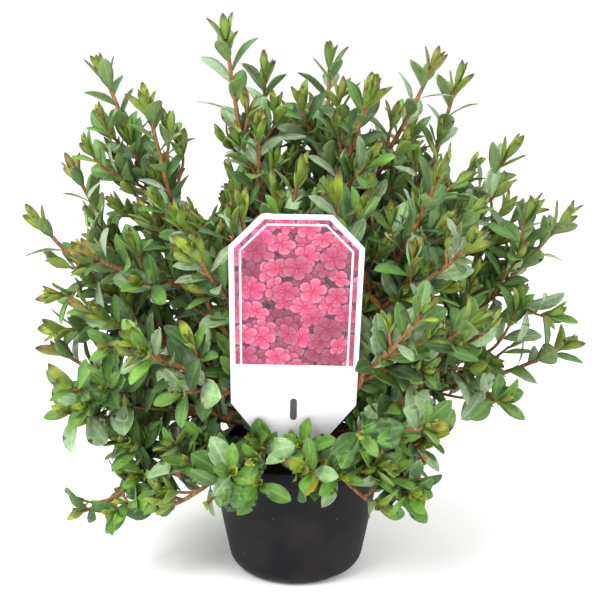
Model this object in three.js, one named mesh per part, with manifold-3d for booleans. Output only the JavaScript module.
// An evergreen azalea in its round nursery pot, with the picture label that stands in the soil.
// A short stem rises from the soil and forks into boughs. Each bough carries one spray: a fan of
// leafy shoots that keeps to its own cone of space, so that the sprays together fill the crown.
// Lengths are millimetres, angles are degrees, +Z is up and -Y is the front. The origin is the
// centre of the pot's flat underside.
import * as THREE from "three";
import { mergeVertices } from "three/addons/utils/BufferGeometryUtils.js";
import Module from "manifold-3d";

// The pot: a moulded container with a collar, a wall that widens upwards and a rounded foot.
const POT = {
  height: 115,
  collarRadius: 80,
  collarHeight: 15,
  collarStep: 2.2,
  footRadius: 58,
  footRounding: 20,
  wall: 1.8,
  sides: 40,
  roundingSteps: 4,
};
// The drain notches that break the foot's edge.
const NOTCH = {
  count: 6,
  firstAzimuth: -108,
  footWidth: 25,
  topWidth: 16,
  height: 5.5,
  inner: 38,
  outer: 72,
};
// The potting soil, which fills the pot to a little below the rim and slopes down to its wall.
const SOIL = { level: 105, flatRadius: 34, edgeDrop: 3 };
// The label: a card with cut corners, held by a black stake whose tongue stands through a slot in
// the card. Both lean forwards out of the soil. Heights are measured along the slope.
const LABEL = {
  width: 104,
  topEdge: 53,
  top: 272,
  shoulder: 242.5,
  lowerShoulder: 85,
  bottom: 34,
  bottomEdge: 40,
  thickness: 0.9,
  slotHeight: 79.5,
  slotLength: 23.6,
  slotWidth: 5.6,
  slotSteps: 5,
  edgeRoom: 6,
  footX: -3.4,
  footY: -60,
  lean: 24,
  roll: 1,
};
const STAKE = {
  width: 12,
  top: 98,
  depth: 48,
  point: 12,
  thickness: 1.8,
  tongueProud: 0.7,
};
// The short main stem, from its flared foot on the soil to the fork.
const STEM = {
  height: 62,
  leanX: 3,
  leanY: 2,
  footRadius: 12,
  waistRadius: 7.4,
  tipRadius: 5.6,
  flareHeight: 0.3,
  sides: 10,
  steps: 8,
};
// The point that the crown's directions are measured from.
const FORK = new THREE.Vector3(0, 0, 125);

// The crown: the sprays stand in tiers round the fork. boughLength is where a tier's boughs end
// and its sprays begin, leaves is the height at which the boughs leave the stem, and shoots is how
// many shoots a spray has, unless more leaders than that grow from it.
const TIERS = [
  { count: 7, shoots: 4, elevation: -2, firstAzimuth: -77, boughLength: 66, leaves: 117 },
  { count: 6, shoots: 3, elevation: 15, firstAzimuth: -51, boughLength: 62, leaves: 127 },
  { count: 6, shoots: 4, elevation: 36, firstAzimuth: -60, boughLength: 70, leaves: 139 },
  { count: 6, shoots: 4, elevation: 58, firstAzimuth: -50, boughLength: 80, leaves: 151 },
  { count: 2, shoots: 4, elevation: 79, firstAzimuth: -15, boughLength: 92, leaves: 166 },
];
// How far the sprays wander from even places in their tier, in degrees, and how far neighbouring
// boughs of a tier stand above and below its height on the stem.
const WANDER = { azimuth: 5, elevation: 3, zigzag: 3 };
// How far the leaves reach from the fork: out to the side, and up to the top. The crown is
// shallower from front to back than it is wide, and shorter below the fork.
const REACH = { side: 222, top: 350, rise: 0.8, below: 60, depthLoss: 0.2 };
// The leaders: the shoots that stand out of the crown and give it its ragged outline. The rows
// hold the azimuth, the elevation and the reach of the leaf tips. The crown swells round them.
const LEADERS = [
  [-162, 80.2, 377],
  [126, 81.6, 341],
  [175, 62.9, 380],
  [-161, 66.7, 342],
  [154, 67.5, 301],
  [169, 49.5, 325],
  [-175, 42.1, 311],
  [177, 19.9, 238],
  [-177, 6.3, 217],
  [-163, -13.8, 217],
  [-148, -17.4, 186],
  [-123, -8.7, 158],
  [39, 83.5, 349],
  [-45, 75.2, 334],
  [-7, 70.9, 368],
  [17, 64.6, 362],
  [-3, 54.8, 328],
  [3, 39.8, 321],
  [-1, 19.8, 266],
  [3, 6.3, 222],
  [-29, 9.7, 148],
  [-40, -7.7, 148],
  [-53, -14.4, 148],
];
// The hollows, where the crown draws in: the same three numbers, for no shoot of their own.
const HOLLOWS = [
  [180, 73, 225],
  [-110, 59, 255],
  [142, 62, 235],
  [-35, 2, 138],
  [-14, -3, 138],
  [25, -8, 145],
];
// The bell curve by which a leader or a hollow pulls the crown's reach towards its own.
const SWELL = { share: 0.94, width: 17, base: 0.5 };
// The shoots fan out by spread round their spray's middle and reach a share from shortest to
// longest of the way. They fork from the middle shoot at shares from forkFrom to forkTo of it, and
// leave it by forkTurn of the way between its heading and their own. One that doesn't fit is turned
// inwards by pullStep or shortened by shortenStep at a time. The cell is tested at checked shares.
const SHOOT = {
  spread: 15,
  spreadFrom: 0.75,
  spreadTo: 1.15,
  turnWander: 0.6,
  shortest: 0.7,
  longest: 0.98,
  forkFrom: 0.12,
  forkTo: 0.4,
  forkTurn: 0.6,
  pullStep: 0.1,
  shortenStep: 0.12,
  leastShare: 0.4,
  checked: [0.15, 0.35, 0.55, 0.75, 1],
  upturn: 0.25,
  radius: 2,
  tipRadius: 1.3,
  beyondTip: 28,
  bud: 4,
  bareRings: [0, 0.5],
  bareFoot: 12,
};
// The leaves of a shoot stand at nodes, each a distance from its tip. A leaf that doesn't fit is
// tried again, each time with a share of its length and a change of tilt.
const LEAF = {
  nodes: [
    { fromTip: 64, leaves: 2, tilt: 62, length: 39 },
    { fromTip: 36, leaves: 3, tilt: 58, length: 40 },
    { fromTip: 10, leaves: 3, tilt: 48, length: 40 },
    { fromTip: 0, leaves: 3, tilt: 26, length: 35 },
  ],
  tries: [
    [1, 0],
    [0.9, -12],
    [0.85, 12],
    [0.75, -22],
  ],
  floor: 62,
  frontRise: 0.5,
  frontFrom: 60,
  rightRise: 75,
  rightFrom: 115,
  rightTo: 143,
  rootHeight: 2.8,
  slenderness: 0.48,
  widest: 0.54,
  fold: 1.6,
  droop: 2,
  nodeTurn: 60,
  turnWander: 30,
  tiltWander: 8,
  lengthFrom: 0.85,
  lengthTo: 1.1,
};
// A bough whose place is above skinFrom of the stem starts outside the stem's skin.
const BOUGH = {
  radius: 2.9,
  tipRadius: 2.2,
  sides: 6,
  steps: 4,
  highest: 0.97,
  skinFrom: 0.9,
  swing: 4,
  sag: 2,
};
// The clearance that touching pieces keep, the half gap between neighbouring sprays, and the room
// that the foliage leaves round the pot and the label.
const CLEAR = 0.3;
const CELL_MARGIN = 0.5;
const GUARD = 1;

const rad = THREE.MathUtils.degToRad;
const lerp = THREE.MathUtils.lerp;
const wasm = await Module();
wasm.setup();

// A repeatable number from 0 to 1 for three whole numbers, by mixing their bits.
function chance(a, b, c) {
  let h = Math.imul(a + 1, 0x9e3779b1) ^ Math.imul(b + 1, 0x85ebca77) ^ Math.imul(c + 1, 0xc2b2ae3d);
  h ^= h >>> 15;
  h = Math.imul(h, 0x2c1b3c6d);
  h ^= h >>> 12;
  h = Math.imul(h, 0x297a2d39);
  h ^= h >>> 15;
  return (h >>> 0) / 4294967296;
}

// The unit vector at an azimuth and an elevation. Azimuth 0 is +X and 90 is +Y.
function direction(azimuth, elevation) {
  const flat = Math.cos(rad(elevation));
  return new THREE.Vector3(
    flat * Math.cos(rad(azimuth)),
    flat * Math.sin(rad(azimuth)),
    Math.sin(rad(elevation)),
  );
}

// A closed three.js geometry as a solid.
function solidOf(geometry) {
  const bare = geometry.clone();
  bare.deleteAttribute("normal");
  bare.deleteAttribute("uv");
  const merged = mergeVertices(bare, 1e-4);
  return new wasm.Manifold(
    new wasm.Mesh({
      numProp: 3,
      vertProperties: new Float32Array(merged.attributes.position.array),
      triVerts: new Uint32Array(merged.index.array),
    }),
  );
}

// A solid as a named mesh.
function meshOf(name, solid, material) {
  const { numProp, numVert, vertProperties, triVerts } = solid.getMesh();
  const position = new Float32Array(numVert * 3);
  for (let i = 0; i < numVert; i++)
    position.set(vertProperties.subarray(i * numProp, i * numProp + 3), i * 3);
  const geometry = new THREE.BufferGeometry()
    .setAttribute("position", new THREE.BufferAttribute(position, 3))
    .setIndex(new THREE.BufferAttribute(triVerts, 1));
  geometry.computeVertexNormals();
  const mesh = new THREE.Mesh(geometry, material);
  mesh.name = name;
  return mesh;
}

// A tapering limb: a capped cylinder bent along a curve. radiusAt gives its radius at 0 to 1.
function limbGeometry(curve, radiusAt, sides, steps) {
  const geometry = new THREE.CylinderGeometry(1, 1, 1, sides, steps);
  const frames = curve.computeFrenetFrames(steps);
  const position = geometry.attributes.position;
  const place = new THREE.Vector3();
  for (let i = 0; i < position.count; i++) {
    const t = position.getY(i) + 0.5;
    const step = Math.round(t * steps);
    const radius = radiusAt(t);
    curve.getPointAt(t, place);
    place.addScaledVector(frames.normals[step], position.getX(i) * radius);
    place.addScaledVector(frames.binormals[step], -position.getZ(i) * radius);
    position.setXYZ(i, place.x, place.y, place.z);
  }
  return geometry;
}

// A closed solid from a geometry whose faces may point inwards.
function outwards(geometry) {
  const solid = solidOf(geometry);
  if (solid.volume() > 0) return solid;
  const index = geometry.index.array;
  for (let i = 0; i < index.length; i += 3)
    [index[i + 1], index[i + 2]] = [index[i + 2], index[i + 1]];
  return solidOf(geometry);
}

const limb = (curve, radiusAt, sides, steps) => outwards(limbGeometry(curve, radiusAt, sides, steps));

// The pot's section from its axis to the foot of the collar, taken in by inset from the outside.
const wallSlope =
  (POT.collarRadius - POT.collarStep - POT.footRadius) / (POT.height - POT.collarHeight);
const wallRadius = (z, inset) => POT.footRadius + wallSlope * z - inset * Math.hypot(1, wallSlope);
function potSection(inset, top) {
  const rounding = POT.footRounding;
  const centre = wallRadius(rounding, rounding);
  const points = [new THREE.Vector2(0, inset)];
  for (let i = 0; i <= POT.roundingSteps; i++) {
    const turn = lerp(-Math.PI / 2, -Math.atan(wallSlope), i / POT.roundingSteps);
    const r = rounding - inset;
    points.push(new THREE.Vector2(centre + r * Math.cos(turn), rounding + r * Math.sin(turn)));
  }
  points.push(new THREE.Vector2(wallRadius(top, inset), top));
  return points;
}

// A solid of revolution about +Z from a section that starts and ends on the axis.
function turned(section) {
  return outwards(new THREE.LatheGeometry(section, POT.sides).rotateX(Math.PI / 2));
}

function makePot() {
  const step = POT.height - POT.collarHeight;
  const section = [
    ...potSection(0, step),
    new THREE.Vector2(POT.collarRadius, step),
    new THREE.Vector2(POT.collarRadius, POT.height),
    new THREE.Vector2(POT.collarRadius - POT.wall, POT.height),
    new THREE.Vector2(POT.collarRadius - POT.wall, step + POT.wall),
    ...potSection(POT.wall, step + POT.wall).reverse(),
  ];
  return withoutNotches(turned(section));
}

// A solid less the drain notches, which run in through the foot's edge to the soil.
function withoutNotches(solid) {
  const outline = new THREE.Shape([
    new THREE.Vector2(-NOTCH.footWidth / 2, -POT.wall),
    new THREE.Vector2(NOTCH.footWidth / 2, -POT.wall),
    new THREE.Vector2(NOTCH.topWidth / 2, NOTCH.height),
    new THREE.Vector2(-NOTCH.topWidth / 2, NOTCH.height),
  ]);
  const depth = NOTCH.outer - NOTCH.inner;
  for (let i = 0; i < NOTCH.count; i++) {
    const cutter = new THREE.ExtrudeGeometry(outline, { depth, bevelEnabled: false });
    cutter.translate(0, 0, NOTCH.inner).rotateX(Math.PI / 2);
    cutter.rotateZ(rad(NOTCH.firstAzimuth + 90 + (i * 360) / NOTCH.count));
    solid = solid.subtract(solidOf(cutter));
  }
  return solid;
}

// A closed outline from its right-hand side, which runs upwards, mirrored to the left.
function mirrored(side) {
  const left = side.filter(([x]) => x > 0).reverse().map(([x, y]) => [-x, y]);
  return new THREE.Shape([...side, ...left].map(([x, y]) => new THREE.Vector2(x, y)));
}

// A slot's outline: two half circles joined by straight sides, taken in by inset.
function slotOutline(inset) {
  const radius = LABEL.slotWidth / 2 - inset;
  const straight = (LABEL.slotLength - LABEL.slotWidth) / 2;
  const points = [];
  const steps = LABEL.slotSteps;
  for (let i = 0; i <= 2 * steps + 1; i++) {
    const turn = (Math.PI * (i > steps ? i - 1 : i)) / steps;
    const centre = LABEL.slotHeight + (i > steps ? -straight : straight);
    points.push(new THREE.Vector2(radius * Math.cos(turn), centre + radius * Math.sin(turn)));
  }
  return points;
}

// A plate from an outline on the label's slope, between two distances in front of the card's middle.
const labelTilt = new THREE.Matrix4()
  .makeTranslation(LABEL.footX, LABEL.footY, SOIL.level)
  .multiply(new THREE.Matrix4().makeRotationY(rad(LABEL.roll)))
  .multiply(new THREE.Matrix4().makeRotationX(rad(90 + LABEL.lean)));
function plate(outline, back, front) {
  const geometry = new THREE.ExtrudeGeometry(outline, { depth: front - back, bevelEnabled: false });
  return outwards(geometry.translate(0, 0, back).applyMatrix4(labelTilt));
}

// The card, without its slot, grown all round by grow.
function cardSolid(grow) {
  const outline = mirrored([
    [LABEL.bottomEdge / 2, LABEL.bottom - grow],
    [LABEL.width / 2 + grow, LABEL.lowerShoulder],
    [LABEL.width / 2 + grow, LABEL.shoulder],
    [LABEL.topEdge / 2, LABEL.top + grow],
  ]);
  return plate(outline, -LABEL.thickness / 2 - grow, LABEL.thickness / 2 + grow);
}

// The stake's flat blade behind the card, grown all round by grow.
const stakeFront = -LABEL.thickness / 2 - CLEAR;
function bladeSolid(grow) {
  const half = STAKE.width / 2 + grow;
  const outline = mirrored([
    [0, -STAKE.depth - grow],
    [half, STAKE.point - STAKE.depth],
    [half, STAKE.top + grow],
  ]);
  return plate(outline, stakeFront - STAKE.thickness - grow, stakeFront + grow);
}

function makeCard() {
  const reach = LABEL.thickness;
  return cardSolid(0).subtract(plate(new THREE.Shape(slotOutline(0)), -reach, reach));
}

function makeStake() {
  const tongue = new THREE.Shape(slotOutline(CLEAR));
  const proud = LABEL.thickness / 2 + STAKE.tongueProud;
  return bladeSolid(0).add(plate(tongue, stakeFront - STAKE.thickness / 2, proud));
}

function makeSoil() {
  const gap = POT.wall + CLEAR;
  const section = [
    ...potSection(gap, SOIL.level - SOIL.edgeDrop),
    new THREE.Vector2(SOIL.flatRadius, SOIL.level),
    new THREE.Vector2(0, SOIL.level),
  ];
  return withoutNotches(turned(section)).subtract(bladeSolid(CLEAR));
}

// The main stem's line, upright at its flat foot and leaning a little towards its tip.
const stemFoot = new THREE.Vector3(0, 0, SOIL.level + CLEAR);
const stemTip = new THREE.Vector3(STEM.leanX, STEM.leanY, SOIL.level + STEM.height);
const stemCurve = new THREE.QuadraticBezierCurve3(
  stemFoot,
  new THREE.Vector3(0, 0, SOIL.level + STEM.height / 2),
  stemTip,
);

// The main stem grown by grow, with the root flare in its lowest part.
function stemSolid(grow) {
  const radiusAt = (t) => {
    const flare = Math.max(0, 1 - t / STEM.flareHeight) ** 2;
    const straight = lerp(STEM.waistRadius, STEM.tipRadius, t);
    return lerp(straight, STEM.footRadius, flare) + grow;
  };
  return limb(stemCurve, radiusAt, STEM.sides, STEM.steps);
}

// The distance from the fork to the label in a direction, or Infinity where the label isn't met.
const labelFrame = labelTilt.clone().invert();
function labelDistance(way) {
  const from = FORK.clone().applyMatrix4(labelFrame);
  const to = FORK.clone().add(way).applyMatrix4(labelFrame).sub(from);
  const distance = -from.z / to.z;
  if (!(distance > 0)) return Infinity;
  const hit = from.addScaledVector(to, distance);
  const up = THREE.MathUtils.smoothstep(hit.y, LABEL.bottom, LABEL.lowerShoulder);
  const halfWidth = lerp(LABEL.bottomEdge, LABEL.width, up) / 2;
  const isBeside = Math.abs(hit.x) > halfWidth + LABEL.edgeRoom;
  return isBeside || hit.y > LABEL.top || hit.y < LABEL.bottom ? Infinity : distance;
}

// The reach of the leaf tips in a direction from the fork.
function reachOf(way) {
  const up = Math.max(way.z, 0) ** REACH.rise;
  const base = lerp(REACH.side, REACH.top, up) + REACH.below * Math.min(way.z, 0);
  let sum = SWELL.base * base * (1 - REACH.depthLoss * way.y ** 2);
  let weights = SWELL.base;
  for (const [azimuth, elevation, reach] of [...LEADERS, ...HOLLOWS]) {
    const apart = way.angleTo(direction(azimuth, elevation)) / rad(SWELL.width);
    const weight = Math.exp(-(apart ** 2));
    sum += weight * SWELL.share * reach;
    weights += weight;
  }
  return Math.min(sum / weights, labelDistance(way));
}

// The direction of each spray, with a little seeded wandering from the tier's even spacing.
function sprayDirections() {
  const sprays = [];
  for (const tier of TIERS)
    for (let i = 0; i < tier.count; i++) {
      const n = sprays.length;
      const wanderAcross = WANDER.azimuth * lerp(-1, 1, chance(n, 0, 1));
      const wanderUp = WANDER.elevation * lerp(-1, 1, chance(n, 0, 2));
      const azimuth = tier.firstAzimuth + (i * 360) / tier.count + wanderAcross;
      const way = direction(azimuth, tier.elevation + wanderUp);
      const zigzag = tier.count > 2 ? WANDER.zigzag * (i % 2 ? 1 : -1) : 0;
      sprays.push({ n, tier, way, leaves: tier.leaves + zigzag });
    }
  return sprays;
}

const sprays = sprayDirections();

// A spray's space is the cone of directions nearer to its own than to any other spray's.
function isInCell(spray, point) {
  const from = point.clone().sub(FORK);
  return sprays.every((other) => {
    if (other === spray) return true;
    const towards = spray.way.clone().sub(other.way).normalize();
    return towards.dot(from) > CELL_MARGIN;
  });
}

// The bough of a spray: from inside the stem, out and up to where the spray begins.
function boughCurve(spray) {
  const t = (spray.leaves - SOIL.level) / STEM.height;
  const root = stemCurve.getPoint(THREE.MathUtils.clamp(t, 0, BOUGH.highest));
  const tip = FORK.clone().addScaledVector(spray.way, spray.tier.boughLength);
  const outwardsFlat = new THREE.Vector3(spray.way.x, spray.way.y, 0).normalize();
  root.addScaledVector(outwardsFlat, t > BOUGH.skinFrom ? BOUGH.radius + CLEAR : 0);
  const middle = root.clone().lerp(tip, 0.5).addScaledVector(outwardsFlat, BOUGH.swing);
  middle.z -= BOUGH.sag;
  return new THREE.QuadraticBezierCurve3(root, middle, tip);
}

// A bough grown by grow.
function boughSolid(curve, grow) {
  const radiusAt = (t) => lerp(BOUGH.radius, BOUGH.tipRadius, t) + grow;
  return limb(curve, radiusAt, BOUGH.sides, BOUGH.steps);
}

// The heading of a shoot's tip, which turns up to the light from the line that it has followed.
const upturned = (way) => way.clone().add(new THREE.Vector3(0, 0, SHOOT.upturn)).normalize();

// The end of a twig whose leaf tips reach a distance from the fork in a direction.
function shootEnd(way, reach) {
  const leafTip = FORK.clone().addScaledVector(way, reach);
  return leafTip.addScaledVector(upturned(way), -SHOOT.beyondTip);
}

// The end of one shoot of a spray. The first shoot goes along the middle of the spray's space, and
// the others fan out round it, each turned back towards the middle until its end is in the space.
function shootTip(spray, k, leader) {
  if (leader) return shootEnd(direction(leader[0], leader[1]), leader[2]);
  const place = k + SHOOT.turnWander * chance(spray.n, k, 3);
  const turn = rad((360 * place) / (spray.tier.shoots - 1));
  const wide = SHOOT.spread * lerp(SHOOT.spreadFrom, SHOOT.spreadTo, chance(spray.n, k, 4));
  const spread = k ? wide : 0;
  const share = lerp(SHOOT.shortest, SHOOT.longest, k ? chance(spray.n, k, 5) : 1);
  const side = new THREE.Vector3(0, 0, 1).cross(spray.way).normalize();
  const up = spray.way.clone().cross(side);
  const offset = side.multiplyScalar(Math.cos(turn)).addScaledVector(up, Math.sin(turn));
  for (let pull = 1; pull >= 0; pull -= SHOOT.pullStep) {
    const way = spray.way.clone().addScaledVector(offset, Math.tan(rad(spread * pull))).normalize();
    const tip = shootEnd(way, reachOf(way) * share);
    if (isInCell(spray, tip)) return tip;
  }
  return shootEnd(spray.way, reachOf(spray.way) * share);
}

// A shoot's line: it leaves its parent in the direction leave, and its tip turns up to the light.
function shootCurve(root, leave, tip) {
  const third = root.distanceTo(tip) / 3;
  const chord = tip.clone().sub(root).normalize();
  return new THREE.CubicBezierCurve3(
    root,
    root.clone().addScaledVector(leave, third),
    tip.clone().addScaledVector(upturned(chord), -third),
    tip,
  );
}

// The rings of a three-sided shoot. Each has its centre, its axis, its turn round the axis and a
// radius. A node is a short length between two rings, and leaves grow out of its three sides.
function shootRings(curve, nodes) {
  const length = curve.getLength();
  const bare = length - nodes[0].fromTip - LEAF.rootHeight;
  const stops = SHOOT.bareRings.map((share) => ({ at: share * bare, turn: nodes[0].turn }));
  for (const node of nodes) {
    const at = length - node.fromTip;
    stops.push({ at: at - LEAF.rootHeight, turn: node.turn }, { at, turn: node.turn, node });
  }
  const normal = new THREE.Vector3();
  return stops.map(({ at, turn, node }, i) => {
    const t = at / length;
    const axis = curve.getTangentAt(t);
    if (i === 0) normal.set(axis.z, axis.x, axis.y);
    normal.addScaledVector(axis, -normal.dot(axis)).normalize();
    return {
      at,
      centre: curve.getPointAt(t),
      axis,
      node,
      across: normal.clone().applyAxisAngle(axis, turn),
      radius: lerp(SHOOT.radius, SHOOT.tipRadius, t),
    };
  });
}

// The point and direction at a share of a shoot's length, on the straight lengths between its rings.
function placeOn(rings, share) {
  const at = share * rings.at(-1).at;
  const next = rings.findIndex((ring) => ring.at > at);
  const [low, high] = [rings[next - 1], rings[next]];
  const point = low.centre.clone().lerp(high.centre, (at - low.at) / (high.at - low.at));
  return { point, axis: high.centre.clone().sub(low.centre).normalize() };
}

const onRing = (ring, side) =>
  ring.across
    .clone()
    .applyAxisAngle(ring.axis, (side * 2 * Math.PI) / 3)
    .multiplyScalar(ring.radius)
    .add(ring.centre);

// The far points of a leaf that grows from one side of a node: left, right and tip.
function leafPoints(ring, side, { length, tilt }) {
  const out = ring.across.clone().applyAxisAngle(ring.axis, ((side + 0.5) * 2 * Math.PI) / 3);
  const along = ring.axis.clone().multiplyScalar(Math.cos(tilt)).addScaledVector(out, Math.sin(tilt));
  const faceUp = ring.axis.clone().multiplyScalar(Math.sin(tilt)).addScaledVector(out, -Math.cos(tilt));
  const across = new THREE.Vector3().crossVectors(ring.axis, out);
  const half = (length * LEAF.slenderness) / 2;
  const at = (far, sideways, up) =>
    ring.centre
      .clone()
      .addScaledVector(along, far * length)
      .addScaledVector(across, sideways)
      .addScaledVector(faceUp, up);
  return [at(LEAF.widest, -half, LEAF.fold), at(LEAF.widest, half, LEAF.fold), at(1, 0, -LEAF.droop)];
}

// The eight faces of a leaf, as rows of three corners. The root is a four-cornered patch of the
// shoot's skin: lower left, lower right, upper right and upper left.
function leafFaces([lowLeft, lowRight, highRight, highLeft], [left, right, tip]) {
  return [
    [lowLeft, lowRight, tip],
    [lowRight, right, tip],
    [lowLeft, tip, left],
    [highLeft, tip, highRight],
    [highRight, tip, right],
    [highLeft, left, tip],
    [lowLeft, left, highLeft],
    [lowRight, highRight, right],
  ];
}

function rootPatch(low, high, side) {
  return [onRing(low, side), onRing(low, side + 1), onRing(high, side + 1), onRing(high, side)];
}

// A closed solid from rows of three corners.
function solidFromFaces(faces) {
  const geometry = new THREE.BufferGeometry().setFromPoints(faces.flat());
  return solidOf(geometry);
}

// The lowest height that a leaf hangs to, which is higher in front of the pot and on the right.
function leafFloor(point) {
  const front = LEAF.frontRise * Math.max(0, -point.y - LEAF.frontFrom);
  const right = THREE.MathUtils.smoothstep(point.x, LEAF.rightFrom, LEAF.rightTo);
  return LEAF.floor + front + LEAF.rightRise * right;
}

// The far points of a leaf at the first of its tries that fits: inside its spray's space, and clear
// of the pot, of the label and of the spray's earlier shoots. A leaf that never fits is left out.
function fitLeaf(spray, earlier, root, ring, side, leaf) {
  const [a, b, c, d] = root;
  for (const [shorter, turned] of LEAF.tries) {
    const tried = { length: leaf.length * shorter, tilt: leaf.tilt + rad(turned) };
    const points = leafPoints(ring, side, tried);
    if (!points.every((point) => point.z > leafFloor(point) && isInCell(spray, point))) continue;
    const solid = solidFromFaces([...leafFaces(root, points), [a, c, b], [a, d, c]]);
    if (isClear(solid) && (!earlier || earlier.intersect(solid).isEmpty())) return points;
  }
  return null;
}

// One shoot: a bent three-sided twig with leaves at its nodes and a bud at its end.
function shootSolid(spray, earlier, rings) {
  const faces = [[onRing(rings[0], 0), onRing(rings[0], 2), onRing(rings[0], 1)]];
  for (let i = 1; i < rings.length; i++)
    for (let side = 0; side < 3; side++) {
      const root = rootPatch(rings[i - 1], rings[i], side);
      const leaf = rings[i].node?.leaves[side];
      const points = leaf && fitLeaf(spray, earlier, root, rings[i], side, leaf);
      const [a, b, c, d] = root;
      if (points) faces.push(...leafFaces(root, points));
      else faces.push([a, b, d], [b, c, d]);
    }
  const last = rings.at(-1);
  const bud = last.centre.clone().addScaledVector(last.axis, SHOOT.bud);
  for (let side = 0; side < 3; side++) faces.push([onRing(last, side), onRing(last, side + 1), bud]);
  return solidFromFaces(faces);
}

// What the shoots and leaves keep out of: the pot, the label, the stem and the boughs.
const guardFoot = POT.height - POT.collarHeight - GUARD;
const potBody = turned([
  ...potSection(-GUARD, guardFoot),
  new THREE.Vector2(POT.collarRadius + GUARD, guardFoot),
  new THREE.Vector2(POT.collarRadius + GUARD, POT.height + GUARD),
  new THREE.Vector2(0, POT.height + GUARD),
]);
const stemCutter = stemSolid(CLEAR);
for (const spray of sprays) spray.bough = boughCurve(spray);
const keepOut = sprays.reduce(
  (sum, spray) => sum.add(boughSolid(spray.bough, CLEAR)),
  potBody.add(cardSolid(GUARD)).add(bladeSolid(GUARD)).add(stemCutter),
);
const isClear = (solid) => keepOut.intersect(solid).isEmpty();

// One leaf of a node, with its length and tilt varied by two seeded numbers.
function variedLeaf(length, tilt, lengthRoll, tiltRoll) {
  return {
    length: length * lerp(LEAF.lengthFrom, LEAF.lengthTo, lengthRoll),
    tilt: rad(tilt + LEAF.tiltWander * lerp(-1, 1, tiltRoll)),
  };
}

// The nodes of a shoot from its lowest to its tip, each with up to three seeded leaves.
function shootNodes(spray, k) {
  return LEAF.nodes.map(({ fromTip, leaves, tilt, length }, i) => {
    const roll = (j) => chance(spray.n, k, 10 * i + j);
    const bare = leaves < 3 ? Math.floor(3 * roll(5)) : -1;
    return {
      fromTip,
      turn: rad(LEAF.nodeTurn * i + LEAF.turnWander * roll(4)),
      leaves: [0, 1, 2].map((side) =>
        side === bare ? null : variedLeaf(length, tilt, roll(side), roll(side + 6)),
      ),
    };
  });
}

// A shoot at one share of its full length, as its rings and solid, or null where it doesn't fit.
function tryShoot(spray, k, { point, axis }, tip, share, main, solid) {
  const end = point.clone().lerp(tip, share);
  const chord = end.clone().sub(point).normalize();
  const leave = main ? axis.clone().lerp(chord, SHOOT.forkTurn).normalize() : axis;
  const curve = shootCurve(point, leave, end);
  const room = curve.getLength() - SHOOT.bareFoot;
  const nodes = shootNodes(spray, k).filter((node) => node.fromTip < room);
  if (!nodes.length) return null;
  if (!SHOOT.checked.every((t) => isInCell(spray, curve.getPointAt(t)))) return null;
  const bare = nodes.map((node) => ({ ...node, leaves: [] }));
  if (!isClear(shootSolid(spray, null, shootRings(curve, bare)))) return null;
  const rings = shootRings(curve, nodes);
  return { rings, solid: shootSolid(spray, solid, rings) };
}

// One spray: its middle shoot goes on from the bough, and the other shoots fork from it. Each is
// made as long as it fits.
function makeSpray(spray) {
  const along = spray.bough.getTangent(1);
  const start = { point: spray.bough.getPoint(1).addScaledVector(along, CLEAR), axis: along };
  const leaders = LEADERS.filter((leader) => nearestSpray(direction(leader[0], leader[1])) === spray);
  let main = null;
  let solid = null;
  for (let k = 0; k < Math.max(spray.tier.shoots, leaders.length); k++) {
    const tip = shootTip(spray, k, leaders[k]);
    const fork = lerp(SHOOT.forkFrom, SHOOT.forkTo, chance(spray.n, k, 7));
    let shoot = null;
    for (let share = 1; share > SHOOT.leastShare && !shoot; share -= SHOOT.shortenStep) {
      const from = main ? placeOn(main, fork) : start;
      shoot = tryShoot(spray, k, from, tip, share, main, solid);
    }
    if (!shoot) continue;
    main = main || shoot.rings;
    solid = solid ? solid.add(shoot.solid) : shoot.solid;
  }
  return largestPiece(solid);
}

// The biggest of a solid's separate pieces, which drops any scrap that a cut left loose.
function largestPiece(solid) {
  return solid.decompose().sort((a, b) => b.volume() - a.volume())[0];
}

function nearestSpray(way) {
  return sprays.reduce((best, spray) => (spray.way.dot(way) > best.way.dot(way) ? spray : best));
}

const finish = (color, roughness) => new THREE.MeshStandardMaterial({ color, roughness, metalness: 0 });
const blackPolypropylene = finish(0x343236, 0.55);
const peat = finish(0x3b2a20, 0.95);
const printedCard = finish(0xf4f1f6, 0.35);
const oldBark = finish(0x6b4a35, 0.85);
const youngBark = finish(0x8a5236, 0.75);
const foliage = finish(0x557c42, 0.5);

const shrub = new THREE.Group();
shrub.add(meshOf("pot", makePot(), blackPolypropylene));
shrub.add(meshOf("soil", makeSoil(), peat));
shrub.add(meshOf("label_card", makeCard(), printedCard));
shrub.add(meshOf("label_stake", makeStake(), blackPolypropylene));
shrub.add(meshOf("stem", stemSolid(0), oldBark));
for (const spray of sprays) {
  const number = String(spray.n + 1).padStart(2, "0");
  const bough = largestPiece(boughSolid(spray.bough, 0).subtract(stemCutter));
  shrub.add(meshOf(`bough_${number}`, bough, youngBark));
  shrub.add(meshOf(`spray_${number}`, makeSpray(spray), foliage));
}

export default shrub;
